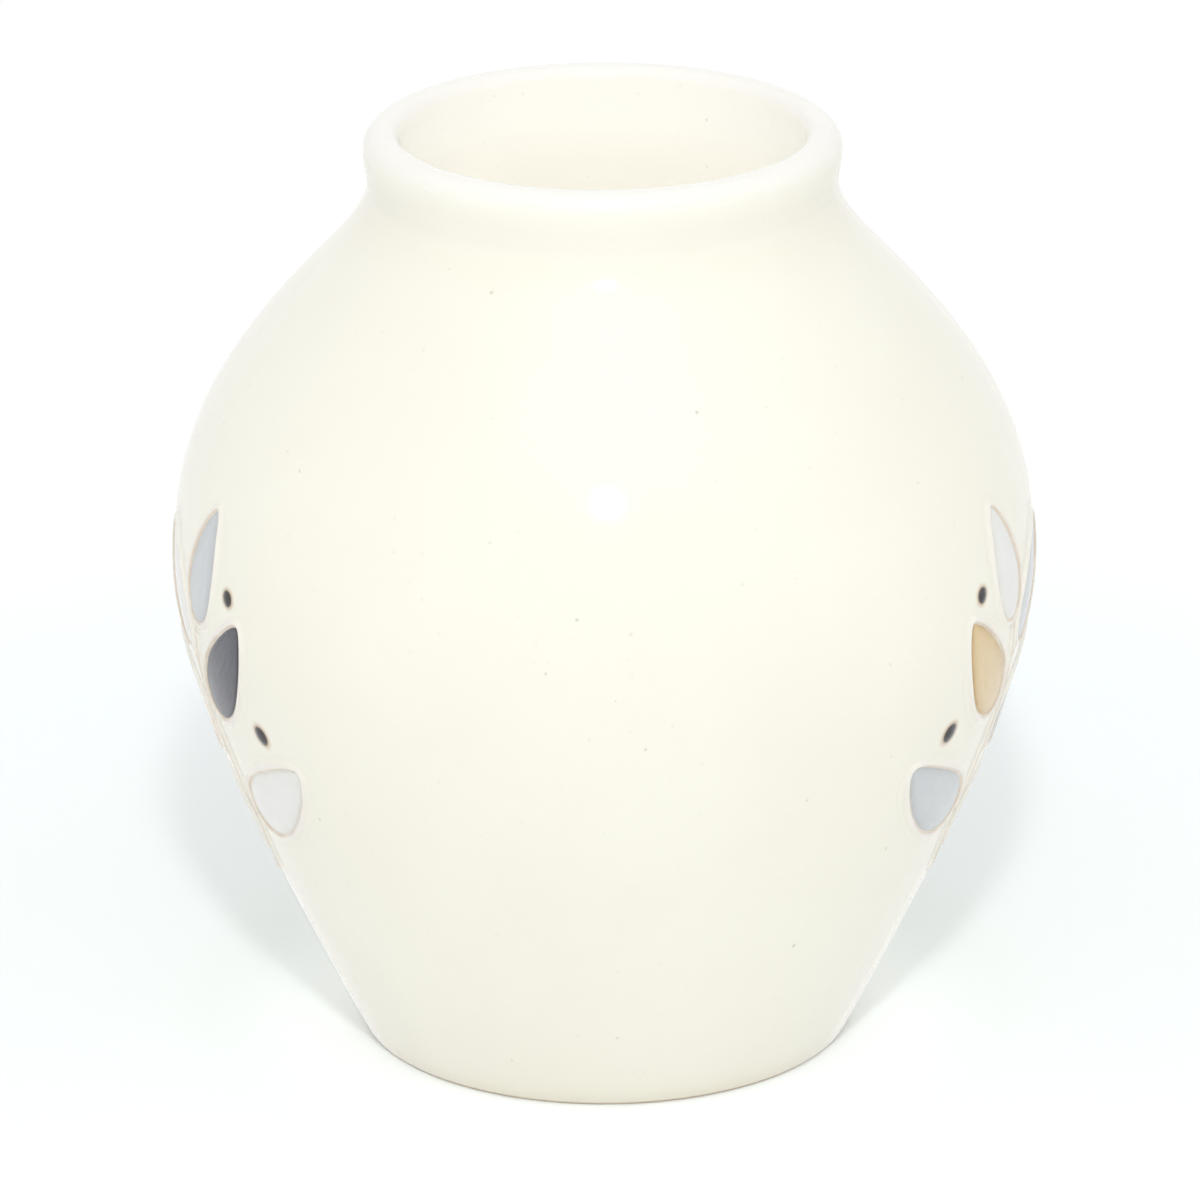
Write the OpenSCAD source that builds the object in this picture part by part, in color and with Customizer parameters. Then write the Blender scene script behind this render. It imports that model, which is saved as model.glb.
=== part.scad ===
// Small glazed pottery vase with a rounded lip, a wide belly and slip-trailed leaf sprays.
// Millimetres, +Z up. The origin is the middle of the foot's resting plane, and the front faces -Y.

/* [Outside] */
// Height to the crest of the lip
height = 102; // [84:1:124]
// Greatest diameter, at the belly
belly_d = 93.2; // [77:0.2:113]
// Height of the greatest diameter
belly_z = 54.8; // [48:0.2:62]
// Diameter of the wall where it meets the foot edge
foot_d = 53.6; // [44:0.2:65]
// Height of the rounded foot edge
foot_edge_h = 0.4; // [0.3:0.1:0.6]
// Outside diameter of the lip
lip_d = 51.2; // [42:0.2:62]
// Height of the lip's outer rounding
lip_round = 2.3; // [1.9:0.1:2.8]
// Radius of the lip's inner edge
lip_edge_round = 1.5; // [1.2:0.1:1.8]
// How far the neck draws in below the lip
neck_inset = 0.4; // [0.2:0.05:0.5]
// Depth of the narrowest part of the neck below the crest
neck_drop = 6.2; // [5.1:0.1:7.5]
// How far the steepest part of the shoulder stands out from the neck
shoulder_step = 4.7; // [3.9:0.1:5.7]
// Depth of the steepest part of the shoulder below the crest
shoulder_drop = 14; // [11.5:0.5:17]

/* [Curves] */
// Lean of the wall at the foot, in degrees from upright
foot_lean = 26.5; // [22:0.5:31]
// Lean of the shoulder at its steepest, in degrees from upright
shoulder_lean = 44; // [36:1:50]
// How far the wall keeps its lean above the foot
foot_pull = 29; // [24:0.5:32]
// How far the wall stays upright below the belly
belly_pull_down = 12; // [10:0.5:14]
// How far the wall stays upright above the belly
belly_pull_up = 14; // [12:0.5:17]
// How far the shoulder keeps its lean below its steepest part
shoulder_pull_down = 15; // [12.5:0.5:18]
// How far the shoulder keeps its lean above its steepest part
shoulder_pull_up = 5.5; // [4.5:0.5:6.5]
// How far the neck stays upright below its narrowest part
neck_pull = 1.2; // [1:0.1:1.5]

/* [Wall] */
// Thickness of the wall, both glaze coats included
wall_t = 3.9; // [3.2:0.1:4.7]
// Thickness of the floor, with its glaze
floor_t = 4.2; // [3.5:0.1:5.1]
// Thickness of each glaze coat
glaze_t = 0.35; // [0.25:0.05:0.45]
// Rounding where the wall meets the floor inside
floor_round = 6; // [5:0.5:7.5]
// Width of the bare foot ring
foot_ring_w = 6.5; // [5:0.5:8]
// Depth of the recess under the floor
foot_recess = 1.6; // [1.3:0.1:2]
// How far the recess draws in from the ring up to the floor
recess_draft = 0.8; // [0.6:0.1:1]

/* [Decoration] */
// Bearing of the side sprays, in degrees either side of the front
spray_bearing = 70; // [58:1:84]
// Height of the middle of a spray
spray_z = 43; // [38:1:48]
// Width of a slip line
line_w = 0.9; // [0.7:0.05:1.1]
// Height that a slip line stands out
line_h = 0.3; // [0.25:0.05:0.4]
// Height of a colour pool at its middle
pool_h = 0.2; // [0.15:0.05:0.25]
// Height of a colour pool at its edge
pool_edge_h = 0.15; // [0.1:0.05:0.2]
// Height that a slip dot stands out
dot_h = 0.25; // [0.2:0.05:0.3]

/* [Hidden] */
$fn = 180;

// Longest facet along the wall, and along the tighter bends at the neck, the throat and the floor
wall_facet = 4;
bend_facet = 1.7;
// Degrees of a facet round the lip and round its inner edge, and facets round the foot edge
lip_facet = 15;
lip_edge_facet = 30;
foot_edge_steps = 4;
// Facets round a leaf (an even count), along a stem and round a dot
leaf_steps = 24;
stem_steps = 16;
dot_steps = 10;
// Half of a stretch along the wall over which its slope is read
slope_reach = 0.6;
// Decoration lies this far off the glaze, so that its flat facets clear the round wall
seat = 0.1;
// Gap between a slip line and the colour that it holds
line_gap = 0.05;
// Shares of a slip line's width at its top, and at the ends of a stem
line_top = 0.55;
line_end = 0.5;
// Share of a dot's width and height at its shoulder
dot_shoulder = 0.7;
// Share by which a leaf is fuller towards its base
leaf_egg = 0.32;

clay_colour = [0.80, 0.70, 0.56];
glaze_colour = [0.95, 0.93, 0.85];
slip_colour = [0.80, 0.72, 0.62];
dot_colour = [0.24, 0.22, 0.21];

// Each spray: its name, its bearing from the front, 1, or -1 where it is mirrored, and its leaves' colours
SPRAYS = [
    ["left", -spray_bearing, -1, ["grey", "white", "amber", "dark", "white", "grey"]],
    ["right", spray_bearing, 1, ["white", "grey", "dark", "amber", "grey", "white"]],
    ["back", 180, 1, ["white", "dark", "amber", "grey", "dark", "white"]]
];
// Each colour of leaf: its name and its colour
PAINTS = [
    ["dark", [0.27, 0.28, 0.33]],
    ["grey", [0.72, 0.74, 0.76]],
    ["white", [0.92, 0.92, 0.89]],
    ["amber", [0.82, 0.70, 0.48]]
];
// Handles of a spray's stem, across and up the wall from the spray's middle
STEM = [[2, -24], [-4, -12], [3.5, -4], [0, 8]];
// Each leaf: share of the stem at its root, side, angle to the stem, gap between the lines at its root,
// length, width, and upward bend as a share of its length
LEAVES = [
    [0.1, 1, 80, 1.1, 14.5, 6.6, 0.12],
    [0.28, -1, 62, 1.2, 18, 7.4, 0.16],
    [0.51, 1, 54, 1.3, 18.5, 7.4, 0.15],
    [0.68, -1, 52, 1.5, 16.5, 7, 0.14],
    [0.87, 1, 46, 1.6, 14.5, 6.4, 0.1],
    [1, -1, 4, 0.3, 14.5, 6.4, 0.08]
];
// Each slip dot: its place across and up the wall from the spray's middle, and its diameter
DOTS = [[-12, -0.5, 2.2], [-9, 14.5, 1.8], [13, 8.5, 1.8], [12, -7.5, 2.2]];

// A curve with four handles, its direction, and its points up to, and without, its last one
function bezier(p, t) = pow(1 - t, 3) * p[0] + 3 * pow(1 - t, 2) * t * p[1]
    + 3 * (1 - t) * t * t * p[2] + pow(t, 3) * p[3];
function bezier_way(p, t) = pow(1 - t, 2) * (p[1] - p[0]) + 2 * (1 - t) * t * (p[2] - p[1])
    + t * t * (p[3] - p[2]);
function stretch(p, n) = [for (i = [0 : n - 1]) bezier(p, i / n)];
// Facets of a curve, so that none is longer than a given length
function facets(p, longest) = ceil((norm(p[1] - p[0]) + norm(p[2] - p[1]) + norm(p[3] - p[2])) / longest);
function smooth(p, longest) = stretch(p, facets(p, longest));
// Part of an ellipse, with its reaches across and up
function arc(centre, reach, from, to, step) = [for (a = [from : step : to])
    centre + [reach.x * cos(a), reach.y * sin(a)]];
// Direction of an open path, or of a closed one, at a point
function along(path, i) = path[min(i + 1, len(path) - 1)] - path[max(i - 1, 0)];
function along_loop(path, i) = path[(i + 1) % len(path)] - path[(i + len(path) - 1) % len(path)];
// The side to the right of a direction
function right_of(d) = [d.y, -d.x] / norm(d);
function turned(d, a) = [d.x * cos(a) - d.y * sin(a), d.x * sin(a) + d.y * cos(a)];
function inset(path, depth) = [for (i = [0 : len(path) - 1]) path[i] - depth * right_of(along(path, i))];
function backwards(path) = [for (i = [len(path) - 1 : -1 : 0]) path[i]];

// Points of the outline, as radius and height
up = [0, 1];
foot_edge = [foot_d / 2, foot_edge_h];
belly = [belly_d / 2, belly_z];
neck = [lip_d / 2 - neck_inset, height - neck_drop];
shoulder = [neck.x + shoulder_step, height - shoulder_drop];
lip_centre = [lip_d / 2 - wall_t + lip_edge_round, height - lip_round];
lip_reach = [wall_t - lip_edge_round, lip_round];
lip_edge_centre = [lip_centre.x, height - lip_edge_round];
lip_outside = [lip_d / 2, lip_centre.y];
lip_inside = lip_edge_centre - [lip_edge_round, 0];
lip_blend = (lip_outside.y - neck.y) / 2;
foot_way = [sin(foot_lean), cos(foot_lean)];
shoulder_way = [-sin(shoulder_lean), cos(shoulder_lean)];

// Outside of the pot, from the foot edge to the crest of the lip
lower_wall = smooth([foot_edge, foot_edge + foot_pull * foot_way, belly - belly_pull_down * up, belly],
    wall_facet);
upper_wall = smooth([belly, belly + belly_pull_up * up, shoulder - shoulder_pull_down * shoulder_way, shoulder],
    wall_facet);
neck_wall = smooth([shoulder, shoulder + shoulder_pull_up * shoulder_way, neck - neck_pull * up, neck],
    bend_facet);
lip_wall = smooth([neck, neck + lip_blend * up, lip_outside - lip_blend * up, lip_outside], bend_facet);
lip_over = arc(lip_centre, lip_reach, 0, 90, lip_facet);
outside = concat(lower_wall, upper_wall, neck_wall, lip_wall, lip_over);

// Inside of the pot, from the crest of the lip to the middle of the floor
lip_under = arc(lip_edge_centre, [lip_edge_round, lip_edge_round], 90 + lip_edge_facet, 180 - lip_edge_facet,
    lip_edge_facet);
floor_z = foot_recess + floor_t;
inner_wall = backwards(inset(concat(lower_wall, upper_wall, neck_wall, [neck]), wall_t));
inner_neck = inner_wall[0];
throat_pull = (lip_inside.y - inner_neck.y) / 2;
throat = smooth([lip_inside, lip_inside - throat_pull * up, inner_neck + throat_pull * up, inner_neck],
    bend_facet);
steep_wall = [for (p = inner_wall) if (p.y > floor_z + floor_round) p];
wall_end = steep_wall[len(steep_wall) - 1];
wall_end_way = wall_end - steep_wall[len(steep_wall) - 2];
floor_corner = wall_end + wall_end_way * (wall_end.y - floor_z) / -wall_end_way.y;
floor_edge = [floor_corner.x - floor_round, floor_z];
corner = smooth([wall_end, (wall_end + 2 * floor_corner) / 3, (floor_edge + 2 * floor_corner) / 3, floor_edge],
    bend_facet);
inside = concat(lip_under, throat, [for (i = [0 : len(steep_wall) - 2]) steep_wall[i]], corner,
    [floor_edge, [0, floor_z]]);

// The glazed surface in one run, and the clay surface under the glaze
skin = concat(outside, inside);
clay_skin = inset(skin, glaze_t);
crest = len(outside) - 1;
last = len(skin) - 1;

// The foot ring, from the middle of the recess to the edge of the clay
ring_out = clay_skin[0].x - foot_edge_h;
ring_in = ring_out - foot_ring_w;
recess_r = ring_in - recess_draft;
foot_corner = [clay_skin[0].x, 0];
foot_line = concat([[0, foot_recess], [recess_r, foot_recess], [ring_in, 0]],
    stretch([[ring_out, 0], foot_corner, foot_corner, clay_skin[0]], foot_edge_steps));

// The outside measured along the wall, so that decoration keeps its size on the curve
runs = [for (i = 0, s = 0; i <= crest; i = i + 1, s = s + norm(skin[i] - skin[i - 1])) s];
run_to_r = [for (i = [0 : crest]) [runs[i], skin[i].x]];
run_to_z = [for (i = [0 : crest]) [runs[i], skin[i].y]];
spray_run = lookup(spray_z, [for (i = [0 : crest]) [skin[i].y, runs[i]]]);

// A point at a place across and up the wall from a spray's middle, standing out by h
function on_wall(p, h, bearing) = let (
    s = spray_run + p.y,
    r = lookup(s, run_to_r),
    z = lookup(s, run_to_z),
    dr = lookup(s + slope_reach, run_to_r) - lookup(s - slope_reach, run_to_r),
    dz = lookup(s + slope_reach, run_to_z) - lookup(s - slope_reach, run_to_z),
    n = right_of([dr, dz]),
    a = bearing - 90 + p.x / r * 180 / PI,
    q = r + h * n.x
) [q * cos(a), q * sin(a), z + h * n.y];

// Stem and leaf curves of a spray, flat, mirrored where flip is -1
function mirrored(p, flip) = [p.x * flip, p.y];
function stem_handles(flip) = [for (p = STEM) mirrored(p, flip)];
function stem_path(flip) = [for (i = [0 : stem_steps]) bezier(stem_handles(flip), i / stem_steps)];
function leaf_loop(leaf, flip) = let (
    side = leaf[1] * flip,
    stem_way = bezier_way(stem_handles(flip), leaf[0]),
    way = turned(stem_way / norm(stem_way), -side * leaf[2]),
    bend = leaf[6] * turned(way, side * 90),
    root = bezier(stem_handles(flip), leaf[0]) + (line_w + leaf[3]) * way
) [for (i = [0 : leaf_steps - 1]) let (
    t = 360 * i / leaf_steps,
    u = (1 - cos(t)) / 2,
    half_w = leaf[5] / 2 * sin(t) * (1 + leaf_egg * cos(t))
) root + leaf[4] * (u * way + u * u * bend) + half_w * right_of(way + 2 * u * bend)];

// Meshes, as a list of points and a list of triangles
function split(quad) = [[quad[0], quad[1], quad[2]], [quad[0], quad[2], quad[3]]];
function real_faces(faces) = [for (f = faces) if (f[0] != f[1] && f[1] != f[2] && f[2] != f[0]) f];
function tube_faces(rings, sides, closed) = [for (i = [0 : rings - (closed ? 1 : 2)])
    for (j = [0 : sides - 1]) let (
        k = (i + 1) % rings * sides,
        l = (j + 1) % sides
    ) each split([i * sides + j, k + j, k + l, i * sides + l])];
function fan(corners) = [for (i = [1 : len(corners) - 2]) [corners[0], corners[i], corners[i + 1]]];
// Several separate meshes as one
function together(meshes) = let (
    starts = [for (i = 0, s = 0; i < len(meshes); s = s + len(meshes[i][0]), i = i + 1) s]
) [
    [for (m = meshes) each m[0]],
    [for (i = [0 : len(meshes) - 1]) for (f = meshes[i][1]) [for (v = f) v + starts[i]]]
];

// A slip line's section, from one foot over the top to the other
line_section = [[-1, 0], [-line_top, 1], [line_top, 1], [1, 0]];
function line_ring(p, side, width, bearing) = [for (c = line_section)
    on_wall(p + side * c.x * width / 2, seat + c.y * line_h, bearing)];

function loop_line(path, bearing) = [
    [for (i = [0 : len(path) - 1]) each line_ring(path[i], right_of(along_loop(path, i)), line_w, bearing)],
    tube_faces(len(path), len(line_section), true)
];

// An open slip line, which narrows at its ends
function open_line(path, bearing) = let (
    n = len(path),
    m = len(line_section)
) [
    [for (i = [0 : n - 1]) each line_ring(path[i], right_of(along(path, i)),
        line_w * (i == 0 || i == n - 1 ? line_end : 1), bearing)],
    concat(tube_faces(n, m, false), fan([for (j = [0 : m - 1]) j]),
        fan([for (j = [m - 1 : -1 : 0]) (n - 1) * m + j]))
];

// The colour inside a loop: edge points above and below, then points along the middle
function pool(path, bearing) = let (
    n = len(path),
    half = n / 2,
    edge = [for (i = [0 : n - 1]) path[i] - (line_w / 2 + line_gap) * right_of(along_loop(path, i))],
    middle = [for (j = [1 : half - 1]) (edge[j] + edge[n - j]) / 2],
    above = function(j) j % half == 0 ? j : 2 * n + j - 1,
    below = function(j) n + (j % half == 0 ? j : n + half + j - 2)
) [
    concat(
        [for (p = edge) on_wall(p, seat + pool_edge_h, bearing)],
        [for (p = edge) on_wall(p, seat, bearing)],
        [for (p = middle) on_wall(p, seat + pool_h, bearing)],
        [for (p = middle) on_wall(p, seat, bearing)]
    ),
    real_faces(concat(
        [for (i = [0 : n - 1]) each split([i, (i + 1) % n, n + (i + 1) % n, n + i])],
        [for (j = [0 : half - 1]) each split([j, above(j), above(j + 1), j + 1])],
        [for (j = [0 : half - 1]) each split([(n - j) % n, n - j - 1, above(j + 1), above(j)])],
        [for (j = [0 : half - 1]) each split([n + j, n + j + 1, below(j + 1), below(j)])],
        [for (j = [0 : half - 1]) each split([n + (n - j) % n, below(j), below(j + 1), 2 * n - j - 1])]
    ))
];

// A slip dot: a ring on the wall, a ring higher up and a top
function dome(dot, flip, bearing) = let (
    centre = mirrored([dot.x, dot.y], flip),
    ring = [for (i = [0 : dot_steps - 1]) dot.z / 2 * [cos(360 * i / dot_steps), sin(360 * i / dot_steps)]],
    n = dot_steps
) [
    concat(
        [for (p = ring) on_wall(centre + p, seat, bearing)],
        [for (p = ring) on_wall(centre + dot_shoulder * p, seat + dot_shoulder * dot_h, bearing)],
        [on_wall(centre, seat + dot_h, bearing)]
    ),
    concat(
        fan([for (i = [0 : n - 1]) i]),
        [for (i = [0 : n - 1]) each split([i, n + i, n + (i + 1) % n, (i + 1) % n])],
        [for (i = [0 : n - 1]) [n + i, 2 * n, n + (i + 1) % n]]
    )
];

module solids(meshes) {
    mesh = together(meshes);
    polyhedron(points = mesh[0], faces = mesh[1]);
}

module clay_body() {
    color(clay_colour) rotate_extrude() polygon(concat(foot_line, clay_skin));
}

module outer_glaze() {
    outer = [for (i = [0 : crest]) skin[i]];
    under = [for (i = [crest : -1 : 0]) clay_skin[i]];
    color(glaze_colour) rotate_extrude() polygon(concat(outer, under));
}

module inner_glaze() {
    outer = [for (i = [crest : last]) skin[i]];
    under = [for (i = [last : -1 : crest]) clay_skin[i]];
    color(glaze_colour) rotate_extrude() polygon(concat(outer, under));
}

module base_glaze() {
    color(glaze_colour) translate([0, 0, foot_recess - glaze_t]) cylinder(r = recess_r, h = glaze_t);
}

module spray_outline(spray) {
    loops = [for (leaf = LEAVES) loop_line(leaf_loop(leaf, spray[2]), spray[1])];
    color(slip_colour) solids(concat([open_line(stem_path(spray[2]), spray[1])], loops));
}

module spray_leaves(spray, paint) {
    chosen = [for (i = [0 : len(LEAVES) - 1]) if (spray[3][i] == paint[0]) LEAVES[i]];
    color(paint[1]) solids([for (leaf = chosen) pool(leaf_loop(leaf, spray[2]), spray[1])]);
}

module spray_dots(spray) {
    color(dot_colour) solids([for (dot = DOTS) dome(dot, spray[2], spray[1])]);
}

clay_body();
outer_glaze();
inner_glaze();
base_glaze();
for (s = SPRAYS) {
    spray_outline(s);
    spray_dots(s);
    for (p = PAINTS) {
        spray_leaves(s, p);
    }
}
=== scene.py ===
import math
from collections import namedtuple
import bmesh
import bpy
import numpy as np
from mathutils import Matrix


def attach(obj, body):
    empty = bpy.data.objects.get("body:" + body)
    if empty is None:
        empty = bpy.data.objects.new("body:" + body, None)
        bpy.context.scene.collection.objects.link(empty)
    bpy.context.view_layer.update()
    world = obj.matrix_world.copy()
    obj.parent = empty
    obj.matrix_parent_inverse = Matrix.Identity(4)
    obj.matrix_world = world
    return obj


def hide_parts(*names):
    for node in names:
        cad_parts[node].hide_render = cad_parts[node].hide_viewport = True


# Looks of a small glazed pottery vase with slip-trailed leaf sprays.
# Shapes are worked out in millimetres, in the frame of the CAD model: +Z up, the front towards -Y.
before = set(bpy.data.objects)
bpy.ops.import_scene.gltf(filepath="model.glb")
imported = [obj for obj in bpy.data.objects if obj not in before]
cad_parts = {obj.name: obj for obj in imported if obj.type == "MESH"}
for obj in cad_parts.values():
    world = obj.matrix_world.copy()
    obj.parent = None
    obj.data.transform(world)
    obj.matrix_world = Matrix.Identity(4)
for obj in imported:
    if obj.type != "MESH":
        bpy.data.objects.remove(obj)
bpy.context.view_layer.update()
MM = 0.001

# Outside of the pot
HEIGHT = 102
BELLY_R = 46.6
BELLY_Z = 54.8
FOOT_R = 26.8
FOOT_EDGE_H = 0.4
LIP_R = 25.6
LIP_ROUND = 2.3
LIP_EDGE_ROUND = 1.5
NECK_INSET = 0.4
NECK_DROP = 6.2
SHOULDER_STEP = 4.7
SHOULDER_DROP = 14
FOOT_LEAN = math.radians(26.5)
SHOULDER_LEAN = math.radians(44)
FOOT_PULL = 29
BELLY_PULL_DOWN = 12
BELLY_PULL_UP = 14
SHOULDER_PULL_DOWN = 15
SHOULDER_PULL_UP = 5.5
NECK_PULL = 1.2

# Wall, floor and foot
WALL_T = 3.9
FLOOR_T = 4.2
GLAZE_T = 0.35
COAT_GAP = 0.02
FLOOR_ROUND = 6
FOOT_RING_W = 6.5
FOOT_RECESS = 1.6
FOOT_RING_EASE = 0.4
RECESS_DRAFT = 0.8

# Waves of a hand-turned wall: times round, twist for each millimetre up, and phase
HAND_WAVES = [(2, 0.05, 0.6), (3, -0.08, 2.1), (5, 0.11, 0)]
# Depth of each wave, and the heights between which the waves come in, from below and from above
HAND_DEPTH = 0.012
HAND_FROM_FOOT = (2, 12)
HAND_FROM_LIP = (92, 80)

# Where the cream glaze lies thicker and looks deeper: shares of the deeper colour, and places.
# The band under the lip, partly thicker glaze and partly painted shade in the crease there, has its middle
# this far under the neck, and fades over a spread.
NECK_SHADE_AND_POOL = 0.18
NECK_SHADE_AND_POOL_DROP = 2.2
NECK_SHADE_AND_POOL_SPREAD = 2.6
# The pools in the hollow and above the foot come in downwards between two heights
HOLLOW_POOL = 0.8
HOLLOW_POOL_Z = (16, 7)
FOOT_POOL = 0.5
FOOT_POOL_Z = (3, 0.8)
# Share under the coat, where it doesn't show
HIDDEN_POOL = 0.5
# Rings of the outside, counted back from the crest of the lip, between which the glaze turns pale
PALE_RINGS = (14, 4)
# Glaze patch under the floor: height and pitch of its turning rings, radii over which they come in,
# share of the deeper colour in its middle, and width of its deeper rim
PATCH_RING_H = 0.03
PATCH_RING_PITCH = 1.9
PATCH_RINGS_FROM = (0.8, 3)
PATCH_POOL = 0.25
PATCH_POOL_W = 3

# Decoration
SPRAY_BEARING = 70
SPRAY_Z = 43
LINE_W = 0.9
LINE_H = 0.3
POOL_H = 0.2
POOL_EDGE_H = 0.15
DOT_H = 0.25
LEAF_EGG = 0.32
# Each spray: its name, its bearing from the front, 1, or -1 where it is mirrored, and its leaves' colours
SPRAYS = [
    ("left", -SPRAY_BEARING, -1, ["grey", "white", "amber", "dark", "white", "grey"]),
    ("right", SPRAY_BEARING, 1, ["white", "grey", "dark", "amber", "grey", "white"]),
    ("back", 180, 1, ["white", "dark", "amber", "grey", "dark", "white"]),
]
# Handles of a stem, across and up the wall from the spray's middle
STEM = [(2, -24), (-4, -12), (3.5, -4), (0, 8)]
# A leaf: share of the stem at its root, side, angle to the stem, gap between the lines at its root,
# length, width, and upward bend as a share of its length
Leaf = namedtuple("Leaf", "share side angle gap length width bend")
LEAVES = [
    Leaf(0.1, 1, 80, 1.1, 14.5, 6.6, 0.12),
    Leaf(0.28, -1, 62, 1.2, 18, 7.4, 0.16),
    Leaf(0.51, 1, 54, 1.3, 18.5, 7.4, 0.15),
    Leaf(0.68, -1, 52, 1.5, 16.5, 7, 0.14),
    Leaf(0.87, 1, 46, 1.6, 14.5, 6.4, 0.1),
    Leaf(1, -1, 4, 0.3, 14.5, 6.4, 0.08),
]
# A slip dot: its place across and up the wall from the spray's middle, and its diameter
Dot = namedtuple("Dot", "across up width")
DOTS = [Dot(-12, -0.5, 2.2), Dot(-9, 14.5, 1.8), Dot(13, 8.5, 1.8), Dot(12, -7.5, 2.2)]

# The thin film that every piece of decoration lies on: its top and its underside, above the glaze
FILM_H = 0.012
FILM_BASE = 0.003

# Section of a trailed line: spread of its bead, half-width of the bead's finely divided crest,
# width of the skirt beside the line, and reach of a leaf's line in under its pool
BEAD_SPREAD = 0.38
BEAD_FLANK = 0.3
SKIRT_W = 0.8
LOOP_REACH = 0.6
# Columns of a skirt draw closer together towards the bead, and the last one is narrow
SKIRT_EASE = 1.6
SKIRT_EDGE = 0.98
# Tan stain along a line: its spread, its place in from the edge of a leaf's line, its strength,
# and the strength of the halo round it
STAIN_SPREAD = 0.2
STAIN_INSET = 0.13
STAIN_SHARE = 0.55
HALO_SHARE = 0.13
# How the pale crest of a line fades from its bead, and the thickness over which a tapering line fades out
CREST_POWER = 0.7
LINE_FADE = (0.1, 0.6)

# Uneven thickness of a line trailed by hand: waves along it, depth, and shift for each step of the seed
LINE_WAVES = [(3, 0.045, 1), (7, 0.035, 2.3)]
STEM_SEED = 0.4
LEAF_SEED_STEP = 1.7
# Thickness of a stem: at its start, the share of its length that it grows over, how much it thins,
# and where it starts to
STEM_START = 0.05
STEM_GROW = 0.06
STEM_THIN = 0.3
STEM_THIN_FROM = 0.85
# The blob where the trailer first touched the pot: its size, its place along the stem and its spread
BLOB = 0.25
BLOB_PLACE = 0.045
BLOB_SPREAD = 0.03
# Thickness of a stalk at the stem and at the leaf
STALK_SIZE = (0.7, 0.8)

# A pool's top laps on to the line, and its underside stops short of it. At the rim the top dips to a share
# of its edge's height, below the bead's flank, and it climbs from there over a width.
POOL_LAP = 0.05
POOL_SHORT = 0.07
POOL_DIP = 0.35
POOL_CLIMB_W = 0.25
# Depths in from the rim over which a pool domes up, and the share of its height that the dome takes
POOL_DOME = (0.2, 2.6)
POOL_DOME_SHARE = 0.9
# Spread of the colour that gathers at a pool's rim
RIM_SPREAD = 0.55
# Steps that give every leaf its own streaks, by its number and by its spray's bearing
LEAF_DRAW_STEP = 3.7
BEARING_DRAW_STEP = 1 / 50

# Rings of a dot's mesh, as shares of its radius, and the ring under it
DOT_RINGS = [0.15, 0.3, 0.45, 0.6, 0.72, 0.84, 0.95, 1.06, 1.2, 1.4, 1.63, 1.65]
DOT_UNDER_RING = 0.8
# Fall of a dot's dome, and where its ink and its stain end, as shares of its radius
DOT_FALL = 0.82
DOT_FALL_POWER = 3
DOT_INK_END = (0.9, 1.12)
DOT_STAIN_END = (1.05, 1.6)
DOT_STAIN_SHARE = 0.75

# How fine the meshes are: points round a turned piece, and along each stretch of its outline
TURN_STEPS = 192
LOWER_WALL_STEPS = 44
UPPER_WALL_STEPS = 40
NECK_STEPS = 18
LIP_WALL_STEPS = 4
LIP_OVER_STEPS = 12
LIP_UNDER_STEPS = 9
THROAT_STEPS = 8
CORNER_STEPS = 14
FLOOR_STEPS = 8
RULER_STEPS = 600
ROLL_STEPS = 9
FOOT_ROUND_STEPS = 10
FOOT_RING_STEPS = 9
RECESS_STEPS = 8
PATCH_STEPS = 60
PATCH_RIM_STEPS = 9
# Points along and across the decoration
LEAF_STEPS = 96
STEM_STEPS = 64
STALK_STEPS = 9
SKIRT_STEPS = 9
CREST_STEPS = 7
LINE_UNDER_STEPS = 5
POOL_ROWS = 17
DOT_STEPS = 28


# Curves

def bezier(handles, t):
    a, b, c, d = [np.array(h, float) for h in handles]
    t = np.asarray(t, float)[..., None]
    return (1 - t) ** 3 * a + 3 * (1 - t) ** 2 * t * b + 3 * (1 - t) * t * t * c + t ** 3 * d


def stretch(handles, count):
    """A curve's points up to, and without, its last one."""
    return bezier(handles, np.arange(count) / count)


def arc(centre, reach, first, last, count):
    """Part of a circle, or of an ellipse where reach is a pair."""
    turn = np.radians(np.linspace(first, last, count))
    return np.array(centre) + np.array(reach) * np.stack([np.cos(turn), np.sin(turn)], 1)


def circle(count):
    """Bearings evenly round a circle."""
    return np.arange(count) * 2 * math.pi / count


def right_of(way):
    return np.stack([way[..., 1], -way[..., 0]], -1) / np.linalg.norm(way, axis=-1, keepdims=True)


def along(path, closed=False):
    """Direction of a path at each of its points."""
    if closed:
        return np.roll(path, -1, 0) - np.roll(path, 1, 0)
    return np.gradient(path, axis=0)


def turned(way, angle):
    cos = math.cos(math.radians(angle))
    sin = math.sin(math.radians(angle))
    return np.array([way[0] * cos - way[1] * sin, way[0] * sin + way[1] * cos])


def smooth_step(x, start, end):
    """0 up to the start and 1 from the end on. The end may be the lower one."""
    t = np.clip((x - start) / (end - start), 0, 1)
    return t * t * (3 - 2 * t)


def bell(x, spread):
    return np.exp(-(x / spread) ** 2)


# Outline of the pot, as radius and height

UP = np.array([0, 1])
foot_edge = np.array([FOOT_R, FOOT_EDGE_H])
belly = np.array([BELLY_R, BELLY_Z])
neck = np.array([LIP_R - NECK_INSET, HEIGHT - NECK_DROP])
shoulder = np.array([neck[0] + SHOULDER_STEP, HEIGHT - SHOULDER_DROP])
lip_centre = np.array([LIP_R - WALL_T + LIP_EDGE_ROUND, HEIGHT - LIP_ROUND])
lip_edge_centre = np.array([lip_centre[0], HEIGHT - LIP_EDGE_ROUND])
lip_outside = np.array([LIP_R, lip_centre[1]])
lip_inside = lip_edge_centre - [LIP_EDGE_ROUND, 0]
lip_blend = (lip_outside[1] - neck[1]) / 2 * UP
foot_way = np.array([math.sin(FOOT_LEAN), math.cos(FOOT_LEAN)])
shoulder_way = np.array([-math.sin(SHOULDER_LEAN), math.cos(SHOULDER_LEAN)])

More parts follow.
